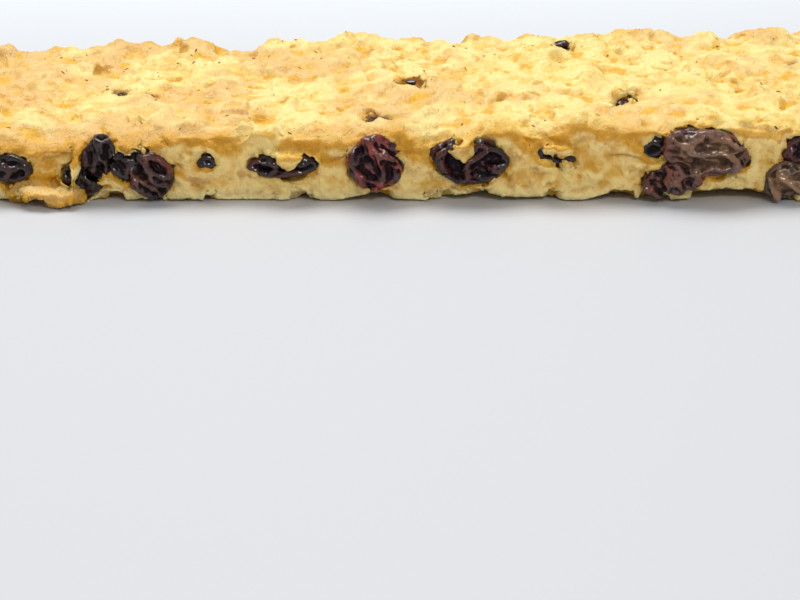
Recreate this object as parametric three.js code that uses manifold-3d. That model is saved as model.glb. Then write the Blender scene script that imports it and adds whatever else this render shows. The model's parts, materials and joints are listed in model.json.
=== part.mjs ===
// A garibaldi biscuit: one long finger of pale baked dough, cut with a knife, with dried currants
// showing in its cut sides, through its lumpy top and in its underside.
// Millimetres, +Z up. The origin is the middle of the underside. X runs along the finger, and the
// front, whose currants are placed one by one, faces -Y.

import * as THREE from "three";
import { mergeVertices } from "three/addons/utils/BufferGeometryUtils.js";
import Module from "manifold-3d";

// The finger of dough
const LENGTH = 100;
const WIDTH = 35;
const THICKNESS = 7.3; // at the middle of the finger
const THICKNESS_SLOPE = 0.017; // rolled by hand, it is thicker towards +X
const WIDTH_SLOPE = 0.03; // and cut by hand, it is wider there
const TOP_EDGE_RADIUS = 1.8;
const BOTTOM_EDGE_RADIUS = 0.6;
const CORNER_RADIUS = 2.6; // of the four corners, seen from above
const STEPS = { length: 48, width: 16, height: 3 }; // of the dough's mesh

// How the surface rises and dips: each layer is [wavelength, height]
const TOP_BILLOWS = [8.5, 1.3]; // round lumps with creases between them
const BILLOW_LEVEL = 0.36; // their mean, of their height
const TOP_LUMPS = [3.6, 0.34];
const SIDE_WAVES = [7.5, 0.4];
const SIDE_LUMPS = [3.2, 0.16];
const EDGE_DROOP = 0.45; // the top comes down towards its edges
const EDGE_DROOP_REACH = 3.5;
const UNDERSIDE_LIFT = 1.1; // the underside lifts off the table towards its edges, in waves
const UNDERSIDE_LIFT_REACH = 4.5;
const UNDERSIDE_WAVE = 9;
const SIDE_REACH = 3; // how far in from the side its unevenness still moves the top and the underside

// Single swells and dents of the top: along, in from the front side, across, height
const TOP_SWELLS = [
  [-36, 1, 11, -0.6],
  [-22, 1, 9, 0.3],
  [-7, 1, 9, 0.6],
  [4, 1, 9, -0.8],
  [20, 1.5, 13, 0.7],
  [31, 1, 10, 0.5],
  [-45, 33.5, 6, 0.6],
  [-41.8, 34.5, 4.4, -1],
  [-30.7, 33, 8, 0.6],
  [-22.5, 33, 6.5, 0.9],
  [-18, 34.5, 5.5, -1.8],
  [-3.4, 33, 9, 1],
  [0.6, 34.5, 4.4, -1.1],
  [8.7, 33.5, 6.5, 0.8],
  [12.7, 34.5, 4.4, -1],
  [25.8, 33, 8, 0.7],
  [30.2, 33.5, 5, 0.7],
  [35, 34, 7, -1.2],
  [-29.6, 15.3, 6, -0.7],
  [-26.3, 12.8, 5, -0.5],
  [-2, 5.3, 6, -0.7],
  [23.4, 10.5, 7, -0.9],
  [43, 21, 6, -0.6],
];
// Where the front side stands out or falls back: along, up, across, height
const FRONT_SWELLS = [
  [-34.3, 4.4, 4.5, -0.8],
  [19, 5.5, 9, -0.5],
  [22, 1.6, 6, 0.5],
];
// Where the underside lifts off the table at the front: along, across, height
const FRONT_LIFTS = [
  [-43, 8, 0.5],
  [-2.6, 6, 0.9],
  [8, 9, 0.9],
  [14, 6, 0.4],
  [21.6, 4.4, 1],
  [34, 12, 1.2],
  [46, 8, 0.6],
];
const FRONT_BLEND = [3, 11]; // from here to here, before the middle, they take the rule's place

// A torn lump that stands out at the foot of the front: its middle and half its sizes
const TORN_LUMP = { at: [-34.9, -17.9, 1], half: [3.8, 1.9, 1.6], rough: 0.3, wave: 0.6 };

// Currants
const GAP = 0.2; // between a currant and the dough or the next currant
const DEPTH = 0.28; // how far a currant reaches into the dough, of its width and height together
const LARGE_CURRANT = 5.7; // a wider one has more facets
const SMALL_CURRANT = 3.4; // a narrower one has fewer
const TONGUE_DEPTH = 0.75; // of a currant's depth
const SHRIVEL = 0.17; // how far its surface rises and dips, of its radius
const SHRIVEL_WAVE = 0.75; // of its radius

// Currants in the front side, one by one. at: the middle, along and up; wide and tall: the size;
// proud: how far it stands out; sunk: how far its middle lies behind the face, in an open hollow;
// tilt: in degrees; tongue: dough that laps over it, as [along, up, wide, tall] from its middle.
const FRONT_CURRANTS = [
  { at: [-45.6, 3.6], wide: 4.2, tall: 3, proud: 0.5, sunk: 0.3, tilt: 15 },
  { at: [-38.8, 3.5], wide: 4.9, tall: 2.5, proud: 0.3, tilt: -6 },
  { at: [-24.6, 2.8], wide: 4.5, tall: 4.4, proud: 0.7, tilt: 25 },
  { at: [-29.8, 4.6], wide: 4.6, tall: 3, proud: 0.5, tilt: 68 },
  { at: [-31.5, 2.4], wide: 4, tall: 3.6, proud: 0.4, tilt: -20, tongue: [-0.7, 0.3, 1, 5] },
  { at: [-26.8, 4.1], wide: 4.4, tall: 3.6, proud: 0.3, tilt: -20, tongue: [-1.5, 1.6, 2.2, 2.4] },
  { at: [-19.1, 4], wide: 2, tall: 1.6, proud: 0.2, sunk: 0.4, tilt: 12 },
  { at: [-11.5, 3.8], wide: 7.1, tall: 2.3, proud: 0.4, sunk: 0.3, tilt: 3, tongue: [0.3, 1.2, 3.4, 1.6] },
  { at: [-2.3, 4.1], wide: 5.6, tall: 5, proud: 0.9, tilt: -8 },
  { at: [7.1, 4.3], wide: 7.2, tall: 4.5, proud: 0.6, sunk: 0.2, tilt: -3, tongue: [-0.6, 1.7, 2.7, 2.4] },
  { at: [15.6, 4.7], wide: 3.8, tall: 1.3, proud: 0.2, sunk: 0.4, tilt: -10 },
  { at: [30.5, 5.2], wide: 8.6, tall: 4.4, proud: 1.1, tilt: -8 },
  { at: [27.3, 2.5], wide: 6.2, tall: 3.2, proud: 0.9, tilt: 14, tongue: [-0.8, -1.6, 1.8, 1.6] },
  { at: [40.2, 5.3], wide: 4.2, tall: 2.8, proud: 0.4, sunk: 0.5, tilt: 18 },
  { at: [38.9, 2.4], wide: 5, tall: 3.7, proud: 1, tilt: 24 },
  { at: [46.2, 3.8], wide: 3.4, tall: 2.6, proud: 0.4, tilt: -20 },
  { at: [25.4, 5.5], wide: 2.6, tall: 2, proud: 0.2, sunk: 0.9, tilt: 12 },
];
// Currants that peep through the top. at: the middle, along and in from the front side
const TOP_CURRANTS = [
  { at: [-45, 12], wide: 2, tall: 2.6, proud: 0.2, tilt: 40 },
  { at: [-29.6, 15.3], wide: 2.3, tall: 2.1, proud: 0.2, tilt: 20 },
  { at: [-26.3, 12.8], wide: 1.7, tall: 2.7, proud: 0.1, tilt: -20 },
  { at: [-25.9, 4.2], wide: 1.9, tall: 1.8, proud: 0.2, tilt: 0 },
  { at: [-2, 5.3], wide: 2.7, tall: 2.9, proud: 0.3, tilt: 10 },
  { at: [1.3, 16.3], wide: 1.6, tall: 1.8, proud: 0.1, tilt: 50 },
  { at: [18.2, 30.2], wide: 2.4, tall: 2, proud: 0.3, tilt: 0 },
  { at: [22.2, 7.6], wide: 1.6, tall: 1.5, proud: 0.1, tilt: 30 },
  { at: [23.7, 11.2], wide: 2.4, tall: 2.1, proud: 0.2, tilt: -15 },
  { at: [43, 21], wide: 2.6, tall: 2, proud: 0.2, tilt: 30 },
];
// The sides where a rule places them, and how many each has
const BACK_CURRANTS = 11;
const END_CURRANTS = 3;
const UNDER_CURRANTS = 5;
const RULE = {
  margin: 3.5, // from the side's ends
  jitter: 0.28, // of the space between two
  up: [3.2, 4.2],
  wide: [2.6, 5.6],
  tall: [0.5, 0.8], // of wide
  leastTall: 1.5,
  proud: [0.2, 1],
  tilt: [-30, 30],
};
const UNDER_RECESS = 0.12; // of a currant's flattened face above the table
const UNDER_INSET = 8; // keeps them on the flat part of the underside
const SEED = 41;
const SEED_STEP = 3.7; // from one currant's shape to the next's

const half = { length: LENGTH / 2, width: WIDTH / 2 };
const wasm = await Module();
wasm.setup();

// A repeatable number from 0 to 1 for a cell of a grid.
function cellValue(i, j, k, salt) {
  let h = Math.imul(i, 374761393) + Math.imul(j, 668265263);
  h = (h + Math.imul(k, 1274126177) + Math.imul(salt, 974711)) >>> 0;
  h = Math.imul(h ^ (h >>> 13), 1103515245) >>> 0;
  h = Math.imul(h ^ (h >>> 15), 2246822519) >>> 0;
  return ((h ^ (h >>> 16)) >>> 0) / 2 ** 32;
}

const fade = (t) => t * t * t * (t * (6 * t - 15) + 10);

// Smooth repeatable noise, mostly from -1 to 1: a random slope at each point of a unit grid,
// blended between them.
function noise(x, y, z) {
  const [i, j, k] = [Math.floor(x), Math.floor(y), Math.floor(z)];
  let sum = 0;
  for (let corner = 0; corner < 8; corner++) {
    const [a, b, c] = [corner & 1, (corner >> 1) & 1, corner >> 2];
    const [dx, dy, dz] = [x - i - a, y - j - b, z - k - c];
    const slope = [0, 1, 2].map((salt) => 2 * cellValue(i + a, j + b, k + c, salt) - 1);
    const weight = fade(1 - Math.abs(dx)) * fade(1 - Math.abs(dy)) * fade(1 - Math.abs(dz));
    sum += weight * (slope[0] * dx + slope[1] * dy + slope[2] * dz);
  }
  return 1.6 * sum;
}

// One layer of relief, [wavelength, height], at a point.
const relief = ([wave, high], x, y, z) => high * noise(x / wave, y / wave, z / wave);

// A round swell, or a dent, which fades out at its rim.
function swell(distance, across) {
  const t = Math.abs((2 * distance) / across);
  return t < 1 ? (1 - t * t) ** 2 : 0;
}

const inwardFrom = (x, y) => Math.min(half.length - Math.abs(x), half.width - Math.abs(y));

// Height of the top above its plain level.
function topRelief(x, y) {
  const [wave, high] = TOP_BILLOWS;
  let rise = high * (BILLOW_LEVEL - Math.abs(noise(x / wave, y / wave, 7.3)));
  rise += relief(TOP_LUMPS, x, y, 11.9);
  for (const [along, inward, across, height] of TOP_SWELLS)
    rise += height * swell(Math.hypot(x - along, y + half.width - inward), across);
  const edge = Math.max(0, 1 - inwardFrom(x, y) / EDGE_DROOP_REACH);
  return rise - EDGE_DROOP * edge * edge;
}

// How far the underside is off the table. Its middle lies flat.
function undersideLift(x, y) {
  const edge = Math.max(0, 1 - inwardFrom(x, y) / UNDERSIDE_LIFT_REACH);
  const waves = 0.55 + 0.6 * noise(x / UNDERSIDE_WAVE, y / UNDERSIDE_WAVE, 3.1);
  const placed = FRONT_LIFTS.map(([along, across, height]) => height * swell(x - along, across));
  const front = placed.reduce((sum, lift) => sum + lift);
  const blend = THREE.MathUtils.smoothstep(-y, ...FRONT_BLEND);
  return edge * THREE.MathUtils.lerp(UNDERSIDE_LIFT * Math.max(0, waves), front, blend);
}

// How far a side stands out from its plain place.
function sideRelief(x, y, z) {
  let out = relief(SIDE_WAVES, x, y, 0.6 * z + 20) + relief(SIDE_LUMPS, x, y, z + 40);
  if (y < 0 && inwardFrom(x, y) < half.length - Math.abs(x))
    for (const [along, up, across, height] of FRONT_SWELLS)
      out += height * swell(Math.hypot(x - along, z - up), across);
  return out;
}

// Pulls a point of a square corner onto a round one; a and b run outwards from the arc's middle.
function roundCorner(a, b) {
  const keep = Math.max(a, b) / Math.hypot(a, b);
  return [a * keep, b * keep];
}

// Moves a point of the plain slab to its place on the baked finger.
function bake(point) {
  const share = point.z / THICKNESS; // 0 at the underside, 1 at the top
  const thick = THICKNESS + THICKNESS_SLOPE * point.x;
  const inward = inwardFrom(point.x, point.y);
  const upper = share > 0.5;
  const radius = upper ? TOP_EDGE_RADIUS : BOTTOM_EDGE_RADIUS;
  let fromFace = thick * (upper ? 1 - share : share);
  let inset = inward;
  if (inward < radius && fromFace < radius) {
    const [out, up] = roundCorner(radius - inward, radius - fromFace);
    inset = radius - out;
    fromFace = radius - up;
  }
  let x = Math.sign(point.x) * Math.min(Math.abs(point.x), half.length - inset);
  let y = Math.sign(point.y) * Math.min(Math.abs(point.y), half.width - inset);
  let z = upper ? thick - fromFace : fromFace;

  const middle = { x: half.length - CORNER_RADIUS, y: half.width - CORNER_RADIUS };
  const past = { x: Math.abs(x) - middle.x, y: Math.abs(y) - middle.y };
  let outward = past.x > past.y ? [Math.sign(x), 0] : [0, Math.sign(y)];
  if (past.x > 0 && past.y > 0) {
    const [a, b] = roundCorner(past.x, past.y);
    const far = Math.hypot(a, b);
    outward = [(Math.sign(x) * a) / far, (Math.sign(y) * b) / far];
    x = Math.sign(x) * (middle.x + a);
    y = Math.sign(y) * (middle.y + b);
  }
  const nearSide = Math.max(0, 1 - inward / SIDE_REACH);
  const out = nearSide * sideRelief(x, y, z);
  const rise = share ** 2 * topRelief(x, y) + (1 - share) ** 2 * undersideLift(x, y);
  y += ((y + half.width) / WIDTH) * WIDTH_SLOPE * x;
  return new THREE.Vector3(x + outward[0] * out, y + outward[1] * out, z + rise);
}

// A geometry with only its shared points, which a solid is made from.
function shared(geometry) {
  geometry.deleteAttribute("normal");
  geometry.deleteAttribute("uv");
  return mergeVertices(geometry);
}

// Moves every point of a geometry.
function movePoints(geometry, move) {
  const position = geometry.getAttribute("position");
  const point = new THREE.Vector3();
  for (let i = 0; i < position.count; i++) {
    const moved = move(point.fromBufferAttribute(position, i));
    position.setXYZ(i, moved.x, moved.y, moved.z);
  }
  return geometry;
}

function toSolid(geometry) {
  return new wasm.Manifold(
    new wasm.Mesh({
      numProp: 3,
      vertProperties: geometry.getAttribute("position").array,
      triVerts: new Uint32Array(geometry.index.array),
    }),
  );
}

// The largest body of a solid as a geometry; a cut can leave loose scraps.
function toGeometry(solid) {
  const bodies = solid.decompose().sort((a, b) => b.volume() - a.volume());
  const mesh = bodies[0].getMesh();
  return new THREE.BufferGeometry()
    .setAttribute("position", new THREE.BufferAttribute(mesh.vertProperties, 3))
    .setIndex(new THREE.BufferAttribute(mesh.triVerts, 1));
}

function doughSlab() {
  const slab = new THREE.BoxGeometry(LENGTH, WIDTH, THICKNESS, STEPS.length, STEPS.width, STEPS.height);
  slab.translate(0, 0, THICKNESS / 2);
  return movePoints(shared(slab), bake);
}

function tornLump() {
  const { at, half: size, rough, wave } = TORN_LUMP;
  const lump = movePoints(shared(new THREE.IcosahedronGeometry(1, 2)), (p) => {
    const place = p.clone().divideScalar(wave);
    p.multiplyScalar(1 + rough * noise(...place)).multiply(new THREE.Vector3(...size));
    p.add(new THREE.Vector3(...at));
    return p.setZ(Math.max(0, p.z));
  });
  return toSolid(lump);
}

function ball(wide) {
  if (wide < SMALL_CURRANT) return new THREE.OctahedronGeometry(1, 1);
  return new THREE.IcosahedronGeometry(1, wide > LARGE_CURRANT ? 2 : 1);
}

// A shrivelled currant. Its widest section lies in the face of the dough, at z = 0, and it bulges
// out of that a little. grow makes the socket that holds it.
function currantSolid(spec, grow = 0) {
  const lump = movePoints(shared(ball(spec.wide)), (p) => {
    const at = p.clone().divideScalar(SHRIVEL_WAVE);
    p.multiplyScalar(1 + SHRIVEL * noise(at.x + spec.seed, at.y, at.z));
    const open = grow ? 2 * spec.sunk : 0;
    const reach = p.z > 0 ? spec.proud + open : spec.deep;
    p.multiply(new THREE.Vector3(spec.wide / 2 + grow, spec.tall / 2 + grow, reach + grow));
    if (spec.flat) p.z = Math.min(p.z, grow ? 2 * grow : -UNDER_RECESS);
    return p;
  });
  return spec.tongue ? toSolid(lump).subtract(tongueSolid(spec, grow)) : toSolid(lump);
}

// The place of the dough that laps over a currant.
function tongueSolid({ tongue: [along, up, wide, tall], deep }, shrink) {
  const lump = shared(new THREE.IcosahedronGeometry(1, 1));
  lump.scale(wide / 2 - shrink, tall / 2 - shrink, TONGUE_DEPTH * deep);
  return toSolid(lump.translate(along, up, 0));
}

// Repeatable random numbers, one after another.
let drawn = 0;
const draw = (low, high) => low + (high - low) * cellValue(drawn++, SEED, 0, 0);

// A currant by the rule, at a point of a face.
function ruledCurrant(...at) {
  const wide = draw(...RULE.wide);
  const tall = Math.max(RULE.leastTall, wide * draw(...RULE.tall));
  return { at, wide, tall, proud: draw(...RULE.proud), tilt: draw(...RULE.tilt) };
}

// The place of one of several along a length, uneven by the rule's jitter.
function spread(i, count, length) {
  const space = (length - 2 * RULE.margin) / count;
  return RULE.margin - length / 2 + (i + 0.5 + draw(-RULE.jitter, RULE.jitter)) * space;
}

function sideCurrants(count, length) {
  return Array.from({ length: count }, (_, i) =>
    ruledCurrant(spread(i, count, length), draw(...RULE.up)),
  );
}

// The underside was flattened on the baking tray, and its currants with it.
function undersideCurrants() {
  const reach = half.width - UNDER_INSET;
  return Array.from({ length: UNDER_CURRANTS }, (_, i) => ({
    ...ruledCurrant(spread(i, UNDER_CURRANTS, LENGTH), draw(-reach, reach)),
    flat: true,
  }));
}

const doughMaterial = new THREE.MeshStandardMaterial({ color: 0xe6bf73, roughness: 0.75, metalness: 0 });
const currantMaterial = new THREE.MeshStandardMaterial({ color: 0x2c1a1e, roughness: 0.4, metalness: 0 });

const biscuit = new THREE.Group();
const currants = [];

// Sets currants into one face of the slab. Seen from outside, x runs along the face and y up or
// across it, and z points out of it.
function addCurrants(name, { position, rotation }, specs) {
  const face = new THREE.Group();
  face.position.set(...position);
  face.rotation.set(...rotation.map(THREE.MathUtils.degToRad), "ZYX");
  face.updateMatrixWorld();
  specs.forEach((spec, i) => {
    const currant = new THREE.Mesh(undefined, currantMaterial);
    currant.name = `currant_${name}_${String(i + 1).padStart(2, "0")}`;
    const sunk = spec.sunk ?? 0;
    currant.position.set(...spec.at, surfaceAbove(face, ...spec.at) - sunk);
    currant.rotation.z = THREE.MathUtils.degToRad(spec.tilt);
    const deep = DEPTH * (spec.wide + spec.tall);
    const seed = SEED_STEP * currants.length;
    currants.push({ mesh: currant, spec: { ...spec, sunk, deep, seed } });
    face.add(currant);
  });
  biscuit.add(face);
}

// How far the slab reaches out at a point of a face.
function surfaceAbove(face, x, y) {
  const outside = new THREE.Vector3(x, y, THICKNESS).applyMatrix4(face.matrixWorld);
  const inward = new THREE.Vector3(0, 0, -1).transformDirection(face.matrixWorld);
  const [hit] = new THREE.Raycaster(outside, inward).intersectObject(slab);
  return THICKNESS - hit.distance;
}

const slab = new THREE.Mesh(doughSlab(), doughMaterial);
const front = { position: [0, -half.width, 0], rotation: [90, 0, 0] };
const right = { position: [half.length, 0, 0], rotation: [90, 0, 90] };
const back = { position: [0, half.width, 0], rotation: [90, 0, 180] };
const left = { position: [-half.length, 0, 0], rotation: [90, 0, 270] };
const top = { position: [0, -half.width, THICKNESS], rotation: [0, 0, 0] };
const under = { position: [0, 0, 0], rotation: [180, 0, 0] };
addCurrants("front", front, FRONT_CURRANTS);
addCurrants("right", right, sideCurrants(END_CURRANTS, WIDTH));
addCurrants("back", back, sideCurrants(BACK_CURRANTS, LENGTH));
addCurrants("left", left, sideCurrants(END_CURRANTS, WIDTH));
addCurrants("top", top, TOP_CURRANTS);
addCurrants("under", under, undersideCurrants());
biscuit.updateMatrixWorld(true);

// Cuts each currant clear of the ones before it, and all their sockets out of the dough.
const inPlace = (solid, matrix) => toSolid(toGeometry(solid).applyMatrix4(matrix));
let dough = toSolid(slab.geometry).add(tornLump());
const sockets = [];
for (const { mesh, spec } of currants) {
  const matrix = mesh.matrixWorld;
  const socket = inPlace(currantSolid(spec, GAP), matrix);
  dough = dough.subtract(socket);
  let solid = inPlace(currantSolid(spec), matrix);
  for (const other of sockets) solid = solid.subtract(other);
  sockets.push(socket);
  mesh.geometry = toGeometry(solid).applyMatrix4(matrix.clone().invert());
}

const doughMesh = new THREE.Mesh(toGeometry(dough), doughMaterial);
doughMesh.name = "dough";
biscuit.add(doughMesh);

// The origin is the middle of the whole underside, so the finger is moved by its own box.
const box = new THREE.Box3().setFromObject(biscuit, true);
const middle = box.getCenter(new THREE.Vector3());
biscuit.position.set(-middle.x, -middle.y, -box.min.z);
const part = new THREE.Group();
part.add(biscuit);
export default part;
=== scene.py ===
"""A garibaldi biscuit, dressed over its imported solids.

The dough gets its lumps, creases, crumb and ragged rims, the currants their wrinkles, and the
table its soft light. Lengths are in metres in the frame's own axes: +X along the finger, the
front cut side facing -Y, +Z up.
"""

import json
import math
from collections import namedtuple

import bpy
import numpy as np
from mathutils import Matrix, Quaternion, Vector
from mathutils.bvhtree import BVHTree

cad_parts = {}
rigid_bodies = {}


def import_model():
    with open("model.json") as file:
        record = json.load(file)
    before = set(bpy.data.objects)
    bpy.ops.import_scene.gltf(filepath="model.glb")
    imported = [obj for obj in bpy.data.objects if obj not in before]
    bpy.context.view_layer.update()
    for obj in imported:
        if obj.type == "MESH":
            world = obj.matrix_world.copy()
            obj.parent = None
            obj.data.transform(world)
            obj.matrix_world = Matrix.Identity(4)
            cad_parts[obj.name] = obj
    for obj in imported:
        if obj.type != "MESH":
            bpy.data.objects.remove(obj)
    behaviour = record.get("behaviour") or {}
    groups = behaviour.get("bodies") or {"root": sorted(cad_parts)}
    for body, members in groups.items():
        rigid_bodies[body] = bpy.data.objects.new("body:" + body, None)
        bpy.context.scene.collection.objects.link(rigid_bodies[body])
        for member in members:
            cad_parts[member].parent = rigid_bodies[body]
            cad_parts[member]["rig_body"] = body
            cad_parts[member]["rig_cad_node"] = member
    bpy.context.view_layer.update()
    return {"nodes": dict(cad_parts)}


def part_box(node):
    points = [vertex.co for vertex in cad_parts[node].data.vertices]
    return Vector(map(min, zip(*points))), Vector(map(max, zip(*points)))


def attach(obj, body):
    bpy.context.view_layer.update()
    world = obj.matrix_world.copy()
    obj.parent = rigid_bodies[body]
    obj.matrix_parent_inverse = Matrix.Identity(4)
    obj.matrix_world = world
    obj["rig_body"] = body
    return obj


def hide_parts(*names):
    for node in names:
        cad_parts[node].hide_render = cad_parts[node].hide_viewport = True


bl_info = {
    "name": "Garibaldi Biscuit",
    "version": (1, 0, 0),
    "blender": (4, 5, 0),
    "location": "3D Viewport > Sidebar > Biscuit",
    "description": "Dresses a finger of baked dough and its currants, and lays a table for it",
    "category": "Object",
}

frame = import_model()
MM = 0.001
MERGE = 0.002 * MM  # corners of loose triangles this close are one point
FRUIT = sorted(name for name in frame["nodes"] if name.startswith("currant"))


# ---------------------------------------------------------------- hands: objects and modifiers


def pick(*objects):
    """Selects these objects alone; the last one is active."""
    bpy.ops.object.select_all(action="DESELECT")
    for obj in objects:
        obj.select_set(True)
    bpy.context.view_layer.objects.active = objects[-1]


def copy_of(node, name):
    """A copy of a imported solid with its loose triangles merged."""
    obj = frame["nodes"][node].copy()
    obj.data = obj.data.copy()
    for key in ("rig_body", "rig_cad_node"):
        del obj[key]
    obj.parent = None
    obj.name = obj.data.name = name
    obj.data.materials.clear()
    obj.hide_viewport = False
    bpy.context.scene.collection.objects.link(obj)
    obj.hide_set(False)
    pick(obj)
    bpy.ops.object.mode_set(mode="EDIT")
    bpy.ops.mesh.select_all(action="SELECT")
    bpy.ops.mesh.remove_doubles(threshold=MERGE)
    bpy.ops.object.mode_set(mode="OBJECT")
    return obj


def modify(obj, kind, **settings):
    """Adds a modifier to an object and applies it."""
    pick(obj)
    modifier = obj.modifiers.new(kind.title(), kind)
    for key, value in settings.items():
        setattr(modifier, key, value)
    bpy.ops.object.modifier_apply(modifier=modifier.name)


# One layer of relief: a procedural texture's name and kind, how large its pattern is, how high it
# stands, the texture's value that moves nothing, the vertex group it is kept to, the texture's
# settings, and the two stops of its ramp, if it has one.
Relief = namedtuple("Relief", "name kind size height level group settings stops")


def relief(name, kind, size, height, level=0.5, group="", stops=(), **settings):
    """A layer of relief; what is left over sets the texture."""
    return Relief(name, kind, size, height, level, group, settings, stops)


def raise_relief(obj, layer, guide=None, direction="NORMAL"):
    """Displaces an object by a layer, in the space of a guide object if there is one."""
    texture = bpy.data.textures.new(layer.name, layer.kind)
    texture.noise_scale = layer.size
    for key, value in layer.settings.items():
        setattr(texture, key, value)
    if layer.stops:
        texture.use_color_ramp = True
        ramp = texture.color_ramp
        ramp.interpolation = "EASE"
        for element, (place, value) in zip(ramp.elements, layer.stops):
            element.position = place
            element.color = (value, value, value, 1)
    modify(
        obj,
        "DISPLACE",
        texture=texture,
        texture_coords="OBJECT" if guide else "LOCAL",
        texture_coords_object=guide,
        direction=direction,
        strength=layer.height,
        mid_level=layer.level,
        vertex_group=layer.group,
    )
    bpy.data.textures.remove(texture)


def lay(place, facing, turn, length, width, height):
    """A frame at a place: its X axis turned about the facing, its axes scaled to the sizes."""
    up = Vector(facing).normalized()
    along = up.orthogonal().normalized()
    along.rotate(Quaternion(up, turn))
    axes = Matrix((along, up.cross(along), up)).transposed().to_4x4()
    return Matrix.Translation(place) @ axes @ Matrix.Diagonal((length, width, height, 1))


def strew(name, frames):
    """Copies of a pebble, one filling each frame, joined."""
    bpy.ops.object.select_all(action="DESELECT")
    bpy.ops.mesh.primitive_ico_sphere_add(subdivisions=1, radius=0.5)
    pebble = bpy.context.active_object
    copies = []
    for at in frames:
        piece = pebble.copy()
        piece.data = pebble.data.copy()
        piece.data.transform(at)
        bpy.context.scene.collection.objects.link(piece)
        copies.append(piece)
    bpy.data.objects.remove(pebble)
    pick(*copies)
    bpy.ops.object.join()
    obj = bpy.context.active_object
    obj.name = obj.data.name = name
    return obj


def points(obj):
    """The places of an object's points, one row each."""
    places = np.empty(3 * len(obj.data.vertices), np.float32)
    obj.data.vertices.foreach_get("co", places)
    return places.reshape(-1, 3).astype(float)


def normals(obj):
    """The normals of an object's points, one row each."""
    found = np.empty(3 * len(obj.data.vertices), np.float32)
    obj.data.vertices.foreach_get("normal", found)
    return found.reshape(-1, 3).astype(float)


def move_points(obj, places):
    """Puts an object's points at these places."""
    obj.data.vertices.foreach_set("co", places.astype(np.float32).ravel())
    obj.data.update()


def lay_down(obj):
    """Presses what hangs below the table flat on it."""
    places = points(obj)
    places[:, 2] = np.maximum(places[:, 2], 0)
    move_points(obj, places)


def press_top(obj, level):
    """Presses what stands above a level down to a fifth of its rise."""
    places = points(obj)
    places[:, 2] -= 0.8 * np.maximum(places[:, 2] - level, 0)
    move_points(obj, places)


def keep_largest(obj):
    """Splits off and deletes every bit that isn't joined to the largest, which it returns."""
    name = obj.name
    pick(obj)
    bpy.ops.mesh.separate(type="LOOSE")
    *crumbs, whole = sorted(
        bpy.context.selected_objects, key=lambda part: len(part.data.vertices)
    )
    for crumb in crumbs:
        bpy.data.meshes.remove(crumb.data)
    whole.name = whole.data.name = name
    return whole


def blur(obj, values, times):
    """Values of the points, each averaged with its neighbours a number of times."""
    ends = np.empty(2 * len(obj.data.edges), np.int32)
    obj.data.edges.foreach_get("vertices", ends)
    a, b = ends.reshape(-1, 2).T
    count = len(obj.data.vertices)
    shares = 1 + np.bincount(a, minlength=count) + np.bincount(b, minlength=count)
    columns = values.reshape(count, -1).T.copy()
    for _ in range(times):
        for i, column in enumerate(columns):
            around = np.bincount(a, column[b], count) + np.bincount(b, column[a], count)
            columns[i] = (column + around) / shares
    return columns.T.reshape(values.shape)


def ease(values, low, high):
    """Rises smoothly from 0 at low to 1 at high."""
    t = np.clip((values - low) / (high - low), 0, 1)
    return t * t * (3 - 2 * t)


GROUP_STEPS = 24  # how finely a vertex group's weights are told apart


def set_group(obj, name, weights):
    """Keeps weights from 0 to 1 as a vertex group, in steps."""
    group = obj.vertex_groups.new(name=name)
    steps = np.rint(weights * GROUP_STEPS).astype(int)
    for step in range(1, GROUP_STEPS + 1):
        members = np.nonzero(steps == step)[0]
        group.add(members.tolist(), step / GROUP_STEPS, "REPLACE")


def set_attribute(obj, name, values):
    """Keeps one number for each point, for the materials."""
    attribute = obj.data.attributes.new(name, "FLOAT", "POINT")
    attribute.data.foreach_set("value", values.astype(np.float32))


def group_values(obj, name):
    """The weights of a vertex group, one for each point."""
    index = obj.vertex_groups[name].index
    values = np.zeros(len(obj.data.vertices))
    for i, vertex in enumerate(obj.data.vertices):
        for entry in vertex.groups:
            if entry.group == index:
                values[i] = entry.weight
    return values


def fade_group(obj, name, target, full, none):
    """A vertex group with weights of 1 at one distance from a target, and 0 at another."""
    obj.vertex_groups.new(name=name).add(range(len(obj.data.vertices)), 1, "REPLACE")
    modify(
        obj,
        "VERTEX_WEIGHT_PROXIMITY",
        vertex_group=name,
        target=target,
        proximity_mode="GEOMETRY",
        proximity_geometry={"FACE"},
        min_dist=none,
        max_dist=full,
    )


def colour(name, description, value):
    """A colour that a user may change."""
    return bpy.props.FloatVectorProperty(
        name=name, description=description, default=(*value, 1), size=4, subtype="COLOR"
    )


# ---------------------------------------------------------------- materials


class Socket:
    """A shader value that Python arithmetic can work on."""

    def __init__(self, paint, link):
        self.paint = paint
        self.link = link

    def _math(self, operation, first, second):
        return self.paint.node("ShaderNodeMath", [first, second], operation=operation)

    def __add__(self, other):
        return self._math("ADD", self, other)

    __radd__ = __add__

    def __sub__(self, other):
        return self._math("SUBTRACT", self, other)

    def __rsub__(self, other):
        return self._math("SUBTRACT", other, self)

    def __mul__(self, other):
        return self._math("MULTIPLY", self, other)

    __rmul__ = __mul__

    def __abs__(self):
        return self._math("ABSOLUTE", self, 0)

    def ease(self, low, high):
        """Rises smoothly from 0 at low to 1 at high."""
        inputs = {"Value": self, "From Min": low, "From Max": high}
        return self.paint.node("ShaderNodeMapRange", inputs, interpolation_type="SMOOTHSTEP")


# The sockets of a Mix node of colours go by number, because several share a name
MIX_SHARE, MIX_FIRST, MIX_SECOND, MIX_RESULT = 0, 6, 7, 2


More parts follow.
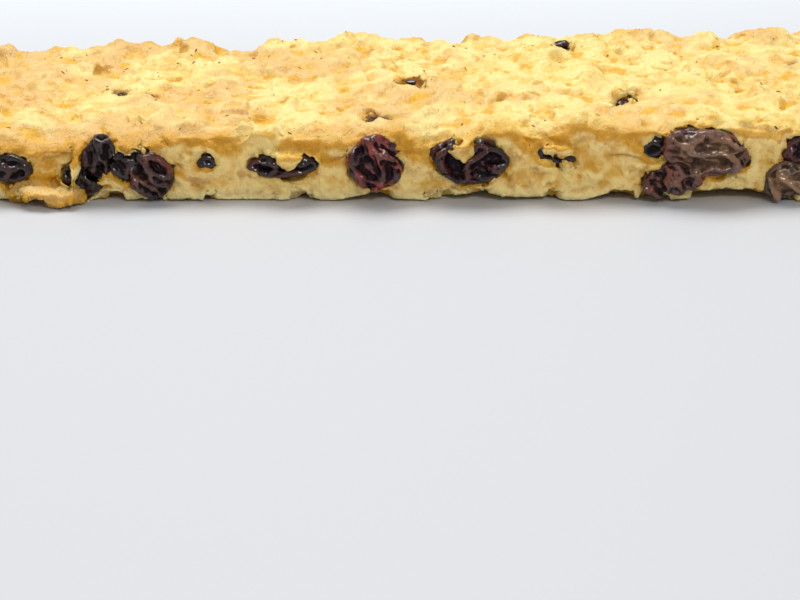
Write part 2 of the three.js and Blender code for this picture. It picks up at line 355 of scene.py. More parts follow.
class Paint:
    """A material in the making."""

    def __init__(self, name):
        self.material = bpy.data.materials.new(name)
        self.material.use_nodes = True
        self.tree = self.material.node_tree
        self.tree.nodes.clear()
        self.place = self.node("ShaderNodeTexCoord", output="Object")

    def node(self, kind, inputs=(), output=0, **settings):
        """Adds a node: its settings first, then the values or links of its sockets."""
        made = self.tree.nodes.new(kind)
        for key, value in settings.items():
            setattr(made, key, value)
        pairs = inputs.items() if isinstance(inputs, dict) else enumerate(inputs)
        for key, value in pairs:
            if isinstance(value, Socket):
                self.tree.links.new(value.link, made.inputs[key])
            else:
                made.inputs[key].default_value = value
        return Socket(self, made.outputs[output])

    def attribute(self, name):
        """One number for each point, which the piece carries."""
        return self.node("ShaderNodeAttribute", output="Fac", attribute_name=name)

    def noise(self, size, detail=2, distortion=0, seed=0):
        """Soft noise from 0 to 1, with patches of a size."""
        inputs = {
            "Vector": self.place,
            "W": seed,
            "Scale": 1 / size,
            "Detail": detail,
            "Distortion": distortion,
        }
        return self.node("ShaderNodeTexNoise", inputs, noise_dimensions="4D")

    def mix(self, share, first, second):
        """Mixes two colours."""
        inputs = {MIX_SHARE: share, MIX_FIRST: first, MIX_SECOND: second}
        return self.node("ShaderNodeMix", inputs, MIX_RESULT, data_type="RGBA")

    def bump(self, height, depth):
        """Normals bent by a height, which is in units of depth."""
        return self.node("ShaderNodeBump", {"Height": height, "Distance": depth})

    def finish(self, **sockets):
        """The one shader, whose sockets are named with _ for a space."""
        inputs = {key.replace("_", " "): value for key, value in sockets.items()}
        shader = self.node("ShaderNodeBsdfPrincipled", inputs)
        out = self.tree.nodes.new("ShaderNodeOutputMaterial")
        self.tree.links.new(shader.link, out.inputs["Surface"])
        return self.material


def paint_dough(look):
    """Baked dough: golden toasted crust on top, pale crumb where it was cut, with painted shade in
    hollows, seam and sockets and painted light at the foot.
    """
    paint = Paint("baked_dough")
    crust = paint.attribute("crust")
    swollen = paint.attribute("swollen")
    stain_and_socket_shade = paint.attribute("stain_and_socket_shade")
    edge = paint.attribute("edge")
    seam_shade = paint.attribute("seam_shade")
    foot_light = paint.attribute("foot_light")
    along = paint.node("ShaderNodeSeparateXYZ", [paint.place], "X")
    broad = paint.noise(11 * MM, 2, 0.4)
    patchy = paint.noise(4.2 * MM, 3, 0.5, 3)
    fine = paint.noise(0.9 * MM, 3, 0.3, 7)
    grain = paint.noise(0.28 * MM, 2, 0, 11)
    blotchy = paint.noise(2.0 * MM, 3, 0.4, 29)

    golden = paint.mix(patchy.ease(0.4, 0.7), look.butter, look.golden)
    leftward = 1 - along.ease(-50 * MM, 15 * MM)
    toast = 0.5 * broad + 0.25 * patchy + 0.25 * blotchy + 0.12 * leftward - 0.01
    golden = paint.mix(0.9 * toast.ease(0.47, 0.6), golden, look.toasted)
    # Painted shade: the hollows of the top are painted orange, over random buttery orange spots.
    hollow_shade = (0 - swollen).ease(0.15, 0.9)
    spots_and_pit_shade = blotchy.ease(0.54, 0.63) * (0.55 + hollow_shade) + 0.4 * hollow_shade
    golden = paint.mix(spots_and_pit_shade, golden, look.orange)
    rolled = edge * (0.4 * broad + 0.35 * patchy + 0.25 * fine).ease(0.4, 0.53)
    rolled = rolled * (1 - 0.45 * along.ease(10 * MM, 35 * MM))
    golden = paint.mix(rolled, golden, paint.mix(broad.ease(0.4, 0.6), look.orange, look.rim))
    # Painted shade: thin brown meandering lines, drawn in colour alone like the shade in creases.
    line = 1 - abs(paint.noise(3.1 * MM, 2, 0.8, 31) - 0.5).ease(0, 0.012)
    golden = paint.mix(0.6 * line * patchy.ease(0.46, 0.58), golden, look.rim)
    # Painted shade and juice stain: near fruit the crust is painted browner, round the sockets.
    golden = paint.mix(0.4 * stain_and_socket_shade, golden, look.rim)
    golden = paint.mix(0.15 * stain_and_socket_shade * fine.ease(0.3, 0.6), golden, look.veil)

    # Damper blotches of the cut side, drawn more into its hollows as painted shade.
    damp_and_hollow_shade = 0.45 * patchy + 0.35 * fine + 0.2 * broad - 0.1 * swollen
    crumb = paint.mix(damp_and_hollow_shade.ease(0.4, 0.6), look.crumb, look.crumb_shade)
    fleck = paint.noise(1.5 * MM, 3, 0.6, 17).ease(0.54, 0.7)
    crumb = paint.mix(0.65 * fleck, crumb, look.fleck)
    # Painted shade and juice stain: the cut side is painted browner round the sockets of fruit.
    crumb = paint.mix(0.55 * stain_and_socket_shade * (0.5 + patchy.ease(0.4, 0.6)), crumb, look.rim)
    # Painted shade: a brown line along the groove of the seam between the two layers.
    crumb = paint.mix(0.7 * seam_shade, crumb, look.fleck)
    # Painted light: the cut side is painted paler towards its foot, as if lit brighter there.
    crumb = paint.mix(0.7 * foot_light, crumb, look.foot_light)

    skin = crust + 0.35 * (patchy - 0.5) + 0.25 * (fine - 0.5)
    band = skin.ease(0.12, 0.45) * (1 - skin.ease(0.7, 1))
    colour = paint.mix(skin.ease(0.15, 0.5), crumb, golden)
    colour = paint.mix(0.95 * band * broad.ease(0.3, 0.5), colour, look.rim)
    height = 0.45 * fine + 0.35 * grain + 0.2 * paint.noise(0.13 * MM, 2, 0, 23)
    return paint.finish(
        Base_Color=colour,
        Roughness=0.55 - 0.15 * crust + 0.15 * (fine - 0.5),
        Specular_IOR_Level=0.4,
        Subsurface_Weight=look.translucency,
        Subsurface_Radius=(1.0, 0.55, 0.22),
        Subsurface_Scale=1.2 * MM,
        Normal=paint.bump(height, 0.5 * MM),
    )


def paint_currant(look):
    """Dried fruit: a dark wrinkled skin, here purple, there red, glossy on its folds, with painted
    shade in its hollows and painted sheen on its ridges.
    """
    paint = Paint("dried_currant")
    tint = paint.attribute("tint")
    raised = paint.attribute("raised")
    patchy = paint.noise(1.6 * MM, 3, 0.5, 5)
    fine = paint.noise(0.35 * MM, 3, 0.2, 9)
    dust = paint.attribute("dust")
    skin = paint.mix(tint.ease(0, 0.9), look.dark, look.purple)
    skin = paint.mix(0.8 * tint * patchy.ease(0.4, 0.62) * raised.ease(-0.6, 0.5), skin, look.red)
    skin = paint.mix(0.8 * dust * patchy.ease(0.25, 0.6), skin, look.flesh)
    # Dusty bloom and painted sheen: the raised ridges are painted greyer and lighter.
    bloom_and_sheen = raised.ease(0.1, 0.9) * fine.ease(0.35, 0.7)
    skin = paint.mix((0.03 + 0.38 * dust) * bloom_and_sheen, skin, look.bloom_and_sheen)
    # Painted shade: the hollows of the folds are painted dark, less on dusty fruit.
    fold_shade = (1 - 0.5 * dust) * (0 - raised).ease(-0.1, 0.7)
    skin = paint.mix(0.9 * fold_shade, skin, look.dark)
    height = 0.7 * fine + 0.15 * paint.noise(0.13 * MM, 2, 0, 13)
    return paint.finish(
        Base_Color=skin,
        Roughness=0.3 + 0.2 * fine.ease(0.3, 0.8),
        Specular_IOR_Level=0.1,
        Coat_Weight=raised.ease(-0.25, 0.4),
        Coat_Roughness=0.08,
        Subsurface_Weight=0.06,
        Subsurface_Radius=(1.0, 0.25, 0.2),
        Subsurface_Scale=0.8 * MM,
        Normal=paint.bump(height, 0.09 * MM),
    )


def paint_speck(look):
    """Burnt crumbs: nearly black, here and there brown."""
    paint = Paint("burnt_speck")
    shade = paint.noise(0.2 * MM, 2)
    colour = paint.mix(shade.ease(0.35, 0.65), look.burnt, look.brown)
    return paint.finish(Base_Color=colour, Roughness=0.7, Specular_IOR_Level=0.15)


def paint_table(look):
    """The pale table, painted whiter behind the biscuit: painted light, brighter towards the back.
    """
    paint = Paint("pale_table")
    back = paint.node("ShaderNodeSeparateXYZ", [paint.place], "Y")
    shade = paint.mix(back.ease(0, 150 * MM), look.table, look.table_far)
    return paint.finish(Base_Color=shade, Roughness=0.6)


# ---------------------------------------------------------------- the dough


# Relief of the dough, from large to small, after the warp, the rags and the notches
DOUGH_RELIEF = (
    relief("top_lumps", "CLOUDS", 4.4 * MM, 2.4 * MM, 0.5, "top"),
    relief("small_lumps", "CLOUDS", 1.9 * MM, 1.0 * MM, 0.5, "top"),
    relief(
        "creases",
        "VORONOI",
        4.6 * MM,
        0.4 * MM,
        1,
        "creased",
        ((0, 0), (0.1, 1)),
        weight_1=-1,
        weight_2=1,
        noise_intensity=1,
    ),
    relief("pits", "VORONOI", 4.2 * MM, 0.6 * MM, 1, "top", ((0.03, 0), (0.26, 1))),
    relief("side_swells", "CLOUDS", 2.8 * MM, 1.4 * MM, 0.5, "side"),
    relief("side_crumb", "CLOUDS", 1.1 * MM, 0.6 * MM, 0.5, "side"),
    relief("side_holes", "VORONOI", 2.3 * MM, 0.35 * MM, 1, "side", ((0.03, 0), (0.2, 1))),
    relief("grain", "CLOUDS", 0.55 * MM, 0.26 * MM, 0.5, "rough", noise_depth=2),
)
RIM_WARP = relief("rim_warp", "CLOUDS", 1.5 * MM, 1.4 * MM, 0.5, "rims", cloud_type="COLOR")
NOTCHES = relief(
    "notches", "CLOUDS", 3.4 * MM, 0.9 * MM, 0, "foot", ((0.49, 0), (0.56, 1)), noise_depth=3
)
SEAM = relief("seam", "CLOUDS", 5 * MM, -0.9 * MM, 0, "seam")
TORN_RAGS = relief("torn_rags", "CLOUDS", 0.9 * MM, 1.2 * MM, 0.5, "torn", noise_depth=3)


def guide_of_fruit():
    """All the currants as one mesh, to measure from."""
    copies = [copy_of(name, name + "_guide") for name in FRUIT]
    pick(*copies)
    bpy.ops.object.join()
    return bpy.context.active_object


# The sides of the finger in millimetres: its ends, its front, and its back, which runs askew
END_AT, FRONT_AT, BACK_AT, BACK_SKEW = 50.4, 17.6, 17.8, 0.03


def inward_from(places):
    """How far points are in from the sides of the finger, in millimetres."""
    x, y, _ = (places / MM).T
    return np.minimum(END_AT - np.abs(x), np.minimum(FRONT_AT + y, BACK_AT + BACK_SKEW * x - y))


# Flaps of dough that lap over currants of the front, in millimetres: where each starts and ends,
# along and up, and how wide it is
FLAPS = (
    ((-31.9, 5.4), (-32.6, 0.9), 1.1),
    ((-28.0, 6.9), (-28.4, 4.8), 2.4),
    ((-27.0, 6.8), (-26.8, 5.3), 2.4),
    ((-26.2, 6.6), (-25.8, 4.9), 0.9),
    ((-11.1, 5.6), (-11.0, 3.9), 3.2),
    ((6.2, 6.8), (6.2, 4.9), 2.6),
    ((4.5, 6.0), (4.1, 4.6), 0.7),
    ((14.8, 6.4), (14.9, 4.9), 1.7),
    ((16.5, 6.2), (16.3, 4.8), 1.8),
    ((14.8, 3.3), (14.9, 4.4), 1.7),
    ((16.8, 3.3), (16.6, 4.3), 1.9),
)
FLAP_THICKNESS = 1.3
FLAP_LIFT = 0.4  # how far the middle of a flap lies in front of what it laps over
FLAP_STRETCH = 1.3  # how much longer a flap is than the way from its start to its end
IN_FRONT = -30  # well clear of the front side

# The lump that tore off at the foot of the front, and how far it spreads
TORN_LUMP = np.array((-34.9, -18.2, 1.2)) * MM
TORN_SPREAD = np.array((5, 2.6, 2.6)) * MM


def lump(places):
    """How much a point belongs to the lump, from 0 to 1."""
    return 1 - ease(np.linalg.norm((places - TORN_LUMP) / TORN_SPREAD, axis=1), 0.6, 1)


def torn_patches(places):
    """Where the dough tore rather than being cut clean, from 0 to 1."""
    x, y, z = (places / MM).T
    waves = np.sin(1.9 * x + 1.3 * z + 2 * np.sin(0.7 * y + 0.31 * x))
    waves += np.sin(0.83 * x + 1.1 * y - 2.2 * z)
    return ease(waves, -0.2, 1)


def tree_of(obj):
    """An object's faces, to be searched by place or ray."""
    mesh = obj.data
    return BVHTree.FromPolygons([v.co for v in mesh.vertices], [p.vertices for p in mesh.polygons])


def foremost(trees, along, up):
    """The place furthest forward on the front side, at a place along and up."""
    hits = [tree.ray_cast(Vector((along, IN_FRONT, up)) * MM, (0, 1, 0))[0] for tree in trees]
    return min((hit for hit in hits if hit), key=lambda hit: hit.y) - Vector((0, FLAP_LIFT, 0)) * MM


def flap_frame(trees, start, end, wide):
    """The frame of a flap that runs over the front side from one place to another."""
    start, end = foremost(trees, *start), foremost(trees, *end)
    run = end - start
    across = run.cross((0, 1, 0)).normalized()
    axes = Matrix((across, run.cross(across).normalized(), run.normalized())).transposed().to_4x4()
    sizes = wide * MM, FLAP_THICKNESS * MM, FLAP_STRETCH * run.length, 1
    return Matrix.Translation((start + end) / 2) @ axes @ Matrix.Diagonal(sizes)


SHRED_SPACING = 0.35 * MM  # between the places where a shred may grow
END_FACES = 48 * MM  # how far along the faces of the ends begin
BY_FRUIT = 0.55 * MM  # nearer to fruit than this, a place is on the rim of a socket
LOW = 0.9 * MM  # lower than this, it is on the foot of a side
UPRIGHT = 0.55  # the most that an upright face looks up or down
OUTER = 0.5  # the least that an outer face looks out


def torn_shreds(look, fruit):
    """The flaps, and shreds along the rims of the sockets and the foot of the cut sides."""
    form = copy_of("dough", "shred_guide")
    modify(form, "REMESH", mode="VOXEL", voxel_size=SHRED_SPACING)
    places, facing = points(form), normals(form)
    tree = tree_of(fruit)
    dice = np.random.default_rng(look.seed)
    outward = np.sign(places) * facing
    outer = np.maximum(outward[:, 0] * (np.abs(places[:, 0]) > END_FACES), outward[:, 1])
    able = (np.abs(facing[:, 2]) < UPRIGHT) & (outer > OUTER)
    torn = torn_patches(places)
    trees = tree, tree_of(form)
    frames = [flap_frame(trees, *flap) for flap in FLAPS]
    for i in np.nonzero(able)[0]:
        spot = Vector(places[i])
        near, _, _, gap = tree.find_nearest(spot)
        low = places[i, 2] < LOW
        by_fruit = gap < BY_FRUIT
        share = look.rim_shreds if by_fruit else look.edge_shreds if low else 0
        if dice.random() > share * torn[i]:
            continue
        size = look.shred * dice.uniform(0.4, 1) ** 1.3
        sizes = size, size * dice.uniform(0.4, 0.8), size * dice.uniform(0.35, 0.6)
        spot += Vector(facing[i]) * size * dice.uniform(-0.25, 0.15)
        if by_fruit:
            spot += (near - spot).normalized() * size * dice.uniform(0.1, 0.6)
        frames.append(lay(spot, facing[i], dice.uniform(0, math.tau), *sizes))
    bpy.data.objects.remove(form)
    return strew("shreds", frames)


def seam(places):
    """Where the two rolled layers of dough show a line between them, from 0 to 1."""
    x, y, z = (places / MM).T
    level = 4.9 + 0.35 * np.sin(0.42 * x + 0.5) + 0.25 * np.sin(1.13 * x + 0.3 * y)
    shows = ease(np.sin(0.23 * x + 0.35 * y + 2.2) + 0.4 * np.sin(0.9 * x), 0.1, 0.9)
    return shows * np.exp(-(((z - level) / 0.17) ** 2))


def mask_dough(obj, fruit):
    """Vertex groups: the top and where it creases, the cut sides, their seam and their foot, where
    the grain is rough, the rims round fruit, what is torn, and what is clear of rims and foot."""
    facing = blur(obj, normals(obj), 16)
    up = facing[:, 2] / np.linalg.norm(facing, axis=1)
    places = points(obj)
    top = ease(up, 0.15, 0.75)
    side = ease(1 - np.abs(up), 0.3, 0.8)
    x, y, height = (places / MM).T
    patches = 0.5 + 0.3 * np.sin(x / 4.3 + 1.7 * np.sin(y / 6)) + 0.3 * np.sin(y / 3.1 + 0.4 * x)
    set_group(obj, "top", top)
    set_group(obj, "side", side)
    set_group(obj, "creased", top * ease(patches, 0.35, 0.8))
    set_group(obj, "seam", side * seam(places))
    set_group(obj, "rough", np.clip(1.2 - ease(-up, 0.4, 0.9), 0, 1) * (1 - 0.5 * top))
    fade_group(obj, "rims", fruit, 0.3 * MM, 1.2 * MM)
    rims = group_values(obj, "rims")
    set_group(obj, "torn", np.maximum(rims * torn_patches(places), 0.35 * lump(places)))
    outer = 1 - ease(inward_from(places), 0.8, 3)
    set_group(obj, "foot", (1 - ease(height, 0.2, 1.7)) * outer)
    foot = (1 - ease(height, 0.9, 1.6)) * ease(1 - np.abs(up), 0.02, 0.2)
    set_group(obj, "clear", (1 - rims) * (1 - foot))


def shade_dough(obj, fruit):
    """Attributes for the paint: how much of a point is crust, how far it stands out, and how near
    it is to fruit (stain, painted shade), the top's edge, the seam (painted shade), the foot
    (painted light)."""
    facing = normals(obj)
    slope = blur(obj, facing, 8)
    places = points(obj)
    up = slope[:, 2] / np.linalg.norm(slope, axis=1)
    inward, height = inward_from(places), places[:, 2] / MM
    inner = ease(inward, 1, 3) * ease(height, 5.5, 7)
    inner = np.maximum(inner, ease(inward, 2.5, 4) * ease(height, 3.5, 5))
    shares = ease(up, -0.1, 0.85), 0.95 * inner, 0.85 * lump(places), 0.9 * ease(-up, 0.75, 0.98)
    set_attribute(obj, "crust", np.max(shares, axis=0))
    lift = np.einsum("ij,ij->i", places - blur(obj, places, 30), blur(obj, facing, 2))
    set_attribute(obj, "swollen", np.clip(blur(obj, lift, 1) / (0.16 * MM), -1, 1))
    # Nearness to fruit, for the juice stain and the painted shade round the sockets.
    fade_group(obj, "beside", fruit, 0.1 * MM, 1.1 * MM)
    set_attribute(obj, "stain_and_socket_shade", blur(obj, group_values(obj, "beside"), 2))
    set_attribute(obj, "edge", (1 - ease(inward, 0.4, 3.4)) * (1 - lump(places)))
    # Where the seam runs, for its painted shade.
    set_attribute(obj, "seam_shade", blur(obj, seam(places), 2))
    # Low on the sides, for the painted light at the foot.
    set_attribute(obj, "foot_light", 1 - ease(height, 0.3, 1.8))


class GaribaldiDough(bpy.types.PropertyGroup):
    mesh_size: bpy.props.FloatProperty(
        name="Mesh size",
        description="Spacing of the mesh that carries the relief",
        default=0.18 * MM,
        unit="LENGTH",
    )
    triangles: bpy.props.IntProperty(
        name="Triangles", description="Most triangles of the finished dough", default=192000
    )
    seed: bpy.props.IntProperty(name="Seed", description="Where the torn shreds fall", default=5)
    shred: bpy.props.FloatProperty(
        name="Shred", description="Largest torn shred across", default=1.5 * MM, unit="LENGTH"
    )
    rim_shreds: bpy.props.FloatProperty(
        name="Rim shreds",
        description="Share of the places round fruit that have a shred",
        default=0.22,
        subtype="FACTOR",
    )
    edge_shreds: bpy.props.FloatProperty(
        name="Edge shreds",
        description="Share of the places along the bottom edges that have a shred",
        default=0.7,
        subtype="FACTOR",
    )
    translucency: bpy.props.FloatProperty(
        name="Translucency",
        description="Share of light that scatters inside the dough",
        default=0.35,
        subtype="FACTOR",
    )
    butter: colour("Butter", "Palest crust", (0.90, 0.74, 0.30))
    golden: colour("Golden", "Baked crust", (0.87, 0.66, 0.21))
    toasted: colour("Toasted", "Crust that caught the heat", (0.76, 0.50, 0.19))
    # Orange also paints the shade in the top's hollows.
    orange: colour("Orange", "Buttery bottom of a pit", (0.76, 0.43, 0.03))
    # Rim also paints the shade round the sockets and the thin brown crease lines.
    rim: colour("Rim", "Browned edge under the top", (0.66, 0.33, 0.02))
    veil: colour("Veil", "Crust so thin that fruit shows through", (0.58, 0.35, 0.15))
    crumb: colour("Crumb", "Cut side", (0.97, 0.715, 0.275))
    # Crumb shade is the damper blotches and, in the side's hollows, painted shade.
    crumb_shade: colour("Crumb shade", "Damper parts of the cut side", (0.78, 0.47, 0.09))
    # Painted light: the paler foot of the cut side.
    foot_light: colour("Thin", "Ragged bottom edge of the cut side", (0.99, 0.80, 0.38))
    # Fleck also paints the shade along the seam.
    fleck: colour("Fleck", "Brown flecks of the cut side", (0.46, 0.20, 0.03))


class GARIBALDI_OT_dough(bpy.types.Operator):
    """Dress the dough: lumps, creases, crumb and ragged rims"""

    bl_idname = "garibaldi.dough"
    bl_label = "Dress the Dough"

    def execute(self, context):
        look = context.scene.garibaldi_dough
        fruit = guide_of_fruit()
        shreds = torn_shreds(look, fruit)
        obj = copy_of("dough", "biscuit_dough")
        pick(shreds, obj)
        bpy.ops.object.join()
        modify(obj, "REMESH", mode="VOXEL", voxel_size=look.mesh_size)
        mask_dough(obj, fruit)
        modify(obj, "SMOOTH", factor=0.5, iterations=20, vertex_group="clear")
        raise_relief(obj, RIM_WARP, direction="RGB_TO_XYZ")
        raise_relief(obj, TORN_RAGS)
        raise_relief(obj, NOTCHES, direction="Z")
        for layer in (*DOUGH_RELIEF, SEAM):
            raise_relief(obj, layer)
        excess = 2 * len(obj.data.polygons) / look.triangles
        if excess > 1:
            modify(obj, "DECIMATE", ratio=1 / excess)
        obj = keep_largest(obj)
        lay_down(obj)
        obj.vertex_groups.clear()
        shade_dough(obj, fruit)
        obj.vertex_groups.clear()
        bpy.data.objects.remove(fruit)
        pick(obj)
        bpy.ops.object.shade_smooth()
        obj.data.materials.append(paint_dough(look))
        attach(obj, "root")
        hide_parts("dough")
        return {"FINISHED"}


# ---------------------------------------------------------------- the currants


# Pieces of fruit by where they sit, so that none is a heavy mesh
BATCHES = {
    "currants_front": ("currant_front",),
    "currants_back_and_ends": ("currant_back", "currant_left", "currant_right"),
    "currants_top_and_under": ("currant_top", "currant_under"),
}
FRUIT_SEED = 7
FRUIT_WARP = relief("fruit_warp", "CLOUDS", 2 * MM, 0.8 * MM, 0.5, "open", cloud_type="COLOR")
WRINKLES = (
    relief(
        "folds",
        "CLOUDS",
        1.7 * MM,
        -1.9 * MM,
        0.22,
        "open",
        ((0.02, 0.02), (0.52, 0.52)),
        noise_type="HARD_NOISE",
        noise_depth=0,
    ),
    relief(
        "creases",
        "CLOUDS",
        0.65 * MM,
        -0.55 * MM,
        0.3,
        "open",
        noise_type="HARD_NOISE",
        noise_depth=1,
    ),
)
TOPS = {"currant_front_04": 6.6 * MM}  # how high a currant rises that the crust holds down
WHOLE_FOLDS = 3.6 * MM  # a currant thinner than this has shallower ones
# One currant's skin: how red it is, how much of its dusty brown flesh shows, how its folds turn
# from its length in radians, and how large and how deep they are. It is set by lot where the
# photograph doesn't tell.
Skin = namedtuple("Skin", "tint dust turn folds depth", defaults=[1])
SKINS = {
    "currant_front_02": Skin(0.1, 0.05, 0, 1),
    "currant_front_03": Skin(0.4, 0.2, 0.8, 1),
    "currant_front_04": Skin(0.1, 0.05, 1.4, 1.1),
    "currant_front_05": Skin(0.1, 0.0, 0, 1),
    "currant_front_06": Skin(0.1, 0.05, 0.3, 1, 0.8),
    "currant_front_07": Skin(0.2, 0.1, 0, 0.8, 1.4),
    "currant_front_08": Skin(0.25, 0.1, 0, 0.8, 1.4),
    "currant_front_09": Skin(1.6, 0.15, 1.1, 1.3),
    "currant_front_10": Skin(0.3, 0.0, 0.1, 1.1),
    "currant_front_11": Skin(0.2, 0.0, 0, 1),
    "currant_front_12": Skin(0.6, 1.0, 0.25, 1.3, 0.9),
    "currant_front_13": Skin(0.6, 0.4, 0.5, 1, 0.9),
    "currant_front_15": Skin(0.2, 1.6, 0.4, 1, 0.8),
    "currant_front_17": Skin(0.0, 0.0, 0, 1),
}


class GaribaldiCurrants(bpy.types.PropertyGroup):
    mesh_size: bpy.props.FloatProperty(
        name="Mesh size",
        description="Spacing of the mesh that carries the wrinkles",
        default=0.115 * MM,
        unit="LENGTH",
    )
    swelling: bpy.props.FloatProperty(
        name="Swelling",
        description="How far a currant fills its socket's gap",
        default=0.24 * MM,
        unit="LENGTH",
    )
    # Dark is the skin's own colour and also the painted shade in its folds.
    dark: colour("Dark", "Darkest skin", (0.006, 0.003, 0.005))
    purple: colour("Purple", "Lighter skin", (0.032, 0.008, 0.015))
    red: colour("Red", "Where the flesh shows through", (0.26, 0.026, 0.022))
    flesh: colour("Flesh", "Brown flesh under thin skin", (0.30, 0.175, 0.09))
    # Bloom is the dusty bloom and the painted sheen on the ridges.
    bloom_and_sheen: colour("Bloom", "Dusty ridges of the folds", (0.30, 0.19, 0.16))


def dry_currant(context, node, dough, look, guide, dice):
    """One currant, shrivelled most where it is clear of the dough. The guide turns its folds."""
    obj = copy_of(node, node + "_skin")
    modify(obj, "REMESH", mode="VOXEL", voxel_size=look.mesh_size)
    modify(obj, "SMOOTH", factor=0.5, iterations=20)
    share = -0.5 if node.startswith("currant_top") else 1  # one in the top shrinks in its socket
    modify(obj, "DISPLACE", strength=look.swelling * share, mid_level=0)
    if node in TOPS:
        press_top(obj, TOPS[node])
    fade_group(obj, "open", dough, 0.9 * MM, 0.1 * MM)
    low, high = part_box(node)
    size = high - low
    along = math.pi / 2 if size.y > size.x else 0
    by_lot = Skin(dice.uniform(0, 0.8), dice.uniform(0, 0.5), dice.uniform(-0.6, 0.6), 1)
    skin = SKINS.get(node, by_lot)
    guide.location = low + Vector(dice.uniform(-0.05, 0.05, 3))
    guide.rotation_euler = (0, skin.turn, along)
    guide.scale = np.array((1.5, 0.85, 0.85)) * skin.folds
    context.view_layer.update()
    depth = skin.depth * min(1, min(size) / WHOLE_FOLDS)
    for layer in (FRUIT_WARP, *WRINKLES):
        direction = "RGB_TO_XYZ" if layer is FRUIT_WARP else "NORMAL"
        raise_relief(obj, layer._replace(height=layer.height * depth), guide, direction)
    modify(obj, "SMOOTH", factor=0.5, iterations=2)
    lay_down(obj)
    places = points(obj)
    lift = np.einsum("ij,ij->i", places - blur(obj, places, 10), normals(obj))
    set_attribute(obj, "raised", np.clip(lift / (0.08 * MM), -1, 1))
    fade_group(obj, "bare", dough, 2 * MM, 0.2 * MM)
    set_attribute(obj, "tint", np.full(len(places), skin.tint))
    bare = blur(obj, group_values(obj, "bare"), 4)
    set_attribute(obj, "dust", skin.dust * (0.2 + 0.8 * bare))
    return obj


class GARIBALDI_OT_currants(bpy.types.Operator):
    """Dry and wrinkle the currants"""

    bl_idname = "garibaldi.currants"
    bl_label = "Dry the Currants"

    def execute(self, context):
        look = context.scene.garibaldi_currants
        skin = paint_currant(look)
        dice = np.random.default_rng(FRUIT_SEED)
        dough = copy_of("dough", "dough_guide")
        guide = bpy.data.objects.new("fold_guide", None)
        context.scene.collection.objects.link(guide)
        for batch, starts in BATCHES.items():
            nodes = [name for name in FRUIT if name.startswith(starts)]
            made = [dry_currant(context, node, dough, look, guide, dice) for node in nodes]
            pick(*made)
            bpy.ops.object.join()
            obj = context.active_object
            obj.name = obj.data.name = batch
            bpy.ops.object.shade_smooth()
            obj.vertex_groups.clear()
            obj.data.materials.append(skin)
            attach(obj, "root")
            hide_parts(*nodes)
        bpy.data.objects.remove(guide)
        bpy.data.objects.remove(dough)
        return {"FINISHED"}


# ---------------------------------------------------------------- specks


SPECK_SEED = 11
FLAT_ENOUGH = 0.6  # the least that a face with a speck looks up


class GaribaldiSpecks(bpy.types.PropertyGroup):
    count: bpy.props.IntProperty(name="Specks", description="Burnt specks on the top", default=300)
    size: bpy.props.FloatProperty(
        name="Size", description="Largest speck across", default=0.6 * MM, unit="LENGTH"
    )
    burnt: colour("Burnt", "Darkest speck", (0.045, 0.016, 0.006))
    brown: colour("Brown", "Palest speck", (0.26, 0.10, 0.03))


class GARIBALDI_OT_specks(bpy.types.Operator):
    """Scatter burnt specks over the top of the dough"""

    bl_idname = "garibaldi.specks"
    bl_label = "Scatter Specks"

    def execute(self, context):
        look = context.scene.garibaldi_specks
        dough = bpy.data.objects["biscuit_dough"]
        dice = np.random.default_rng(SPECK_SEED)
        places, facing = points(dough), normals(dough)
        x, y = places[:, 0] / MM, places[:, 1] / MM
        crowded = np.sin(x / 9 + 2.1) * np.sin(y / 7 + 0.1 * x) > -0.1 + dice.normal(0, 0.5, len(x))
        able = np.nonzero((facing[:, 2] > FLAT_ENOUGH) & crowded)[0]
        frames = []
        for i in dice.choice(able, look.count, replace=False):
            across = look.size * dice.uniform(0.45, 1) ** 1.5
            sizes = across, across * dice.uniform(0.2, 0.45), across * 0.25
            frames.append(lay(Vector(places[i]), facing[i], dice.uniform(0, math.tau), *sizes))
        obj = strew("burnt_specks", frames)
        obj.data.materials.append(paint_speck(look))
        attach(obj, "root")
        return {"FINISHED"}


# ---------------------------------------------------------------- the stage


# The camera sees the front bottom edge, at FRONT_Y, in row BASE_ROW of the picture, where one
# pixel is PIXEL wide.
ELEVATION = math.radians(23)
DISTANCE = 200 * MM
PIXEL = 0.1 * MM
PICTURE = (800, 600)
BASE_ROW = 203
FRONT_Y = -17.4 * MM
SENSOR = 36  # width of the camera's sensor in millimetres
TABLE_SIZE = 3  # metres, so that its edges are out of view


class GaribaldiStage(bpy.types.PropertyGroup):
    table: colour("Table", "Under the biscuit", (0.553, 0.574, 0.612))
    # Painted light: the table is painted whiter further back.
    table_far: colour("Table far", "Behind it", (0.80, 0.868, 0.935))
    sky: colour("Sky", "Light from all round", (0.97, 0.95, 0.93))
    sky_strength: bpy.props.FloatProperty(
        name="Sky strength", description="Strength of the light from all round", default=0.4
    )
    key_power: bpy.props.FloatProperty(
        name="Key", description="Power of the light above", default=2.15, unit="POWER"
    )
    fill_power: bpy.props.FloatProperty(
        name="Fill", description="Power of the light in front", default=0.55, unit="POWER"
    )


def soft_light(name, place, size, power, tint):
    """A broad lamp that faces the middle of the biscuit."""
    bpy.ops.object.light_add(type="AREA", location=place)
    lamp = bpy.context.active_object
    lamp.name = name
    lamp.rotation_euler = (-Vector(place)).to_track_quat("-Z", "Y").to_euler()
    lamp.data.shape = "RECTANGLE"
    lamp.data.size, lamp.data.size_y = size
    lamp.data.energy = power
    lamp.data.color = tint


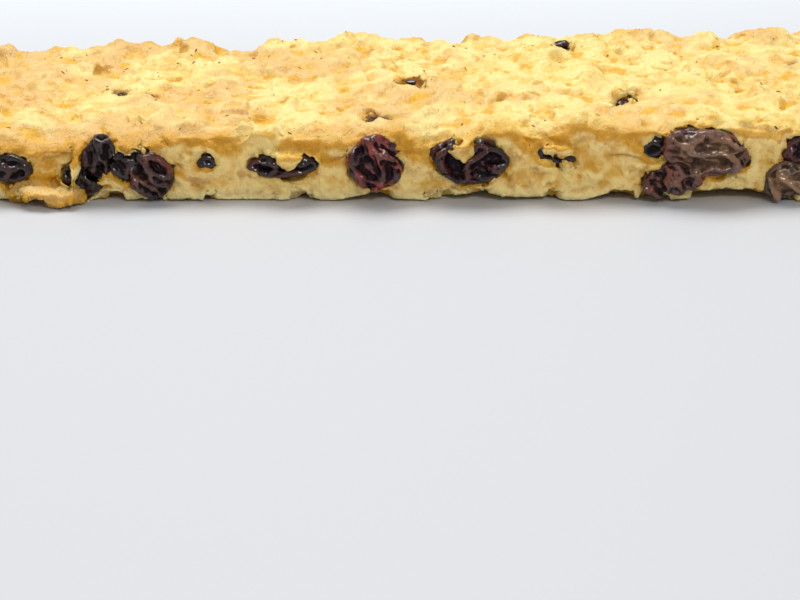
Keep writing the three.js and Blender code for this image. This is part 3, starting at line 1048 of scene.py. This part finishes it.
def set_camera(scene):
    """Looks down at the front from ELEVATION."""
    ahead = Vector((0, math.cos(ELEVATION), -math.sin(ELEVATION)))
    up = Vector((0, math.sin(ELEVATION), math.cos(ELEVATION)))
    base = Vector((0, FRONT_Y, 0))
    above_middle = (PICTURE[1] / 2 - BASE_ROW) * PIXEL
    bpy.ops.object.camera_add(location=base - above_middle * up - DISTANCE * ahead)
    camera = bpy.context.active_object
    camera.rotation_euler = ahead.to_track_quat("-Z", "Y").to_euler()
    camera.data.sensor_width = SENSOR
    camera.data.lens = SENSOR * DISTANCE / (PICTURE[0] * PIXEL)
    camera.data.clip_start = 10 * MM
    scene.camera = camera


class GARIBALDI_OT_stage(bpy.types.Operator):
    """Lay the pale table and set the light and the camera"""

    bl_idname = "garibaldi.stage"
    bl_label = "Set the Stage"

    def execute(self, context):
        look = context.scene.garibaldi_stage
        scene = context.scene
        bpy.ops.object.select_all(action="DESELECT")
        bpy.ops.mesh.primitive_plane_add(size=TABLE_SIZE)
        table = context.active_object
        table.name = "table"
        table.data.materials.append(paint_table(look))
        soft_light("key", (-0.06, 0.14, 0.42), (0.36, 0.26), look.key_power, (1, 0.985, 0.96))
        soft_light("fill", (0.12, -0.34, 0.3), (0.1, 0.07), look.fill_power, (1, 0.98, 0.95))
        world = bpy.data.worlds.new("room")
        scene.world = world
        world.use_nodes = True
        background = world.node_tree.nodes["Background"]
        background.inputs["Color"].default_value = look.sky
        background.inputs["Strength"].default_value = look.sky_strength
        set_camera(scene)
        scene.view_settings.view_transform = "Standard"
        return {"FINISHED"}


class GARIBALDI_PT_panel(bpy.types.Panel):
    bl_label = "Garibaldi Biscuit"
    bl_idname = "GARIBALDI_PT_panel"
    bl_space_type = "VIEW_3D"
    bl_region_type = "UI"
    bl_category = "Biscuit"

    def draw(self, context):
        for group, operator in STEPS:
            box = self.layout.box()
            box.operator(operator)
            look = getattr(context.scene, group)
            for name in look.__annotations__:
                box.prop(look, name)


STEPS = (
    ("garibaldi_dough", "garibaldi.dough"),
    ("garibaldi_currants", "garibaldi.currants"),
    ("garibaldi_specks", "garibaldi.specks"),
    ("garibaldi_stage", "garibaldi.stage"),
)
GROUPS = {
    "garibaldi_dough": GaribaldiDough,
    "garibaldi_currants": GaribaldiCurrants,
    "garibaldi_specks": GaribaldiSpecks,
    "garibaldi_stage": GaribaldiStage,
}
CLASSES = (
    *GROUPS.values(),
    GARIBALDI_OT_dough,
    GARIBALDI_OT_currants,
    GARIBALDI_OT_specks,
    GARIBALDI_OT_stage,
    GARIBALDI_PT_panel,
)


def register():
    for cls in CLASSES:
        bpy.utils.register_class(cls)
    for name, group in GROUPS.items():
        setattr(bpy.types.Scene, name, bpy.props.PointerProperty(type=group))


def unregister():
    for name in GROUPS:
        delattr(bpy.types.Scene, name)
    for cls in reversed(CLASSES):
        bpy.utils.unregister_class(cls)


def main():
    """Makes every piece in order."""
    register()
    for _, operator in STEPS:
        area, name = operator.split(".")
        getattr(getattr(bpy.ops, area), name)()


if __name__ == "__main__":
    main()
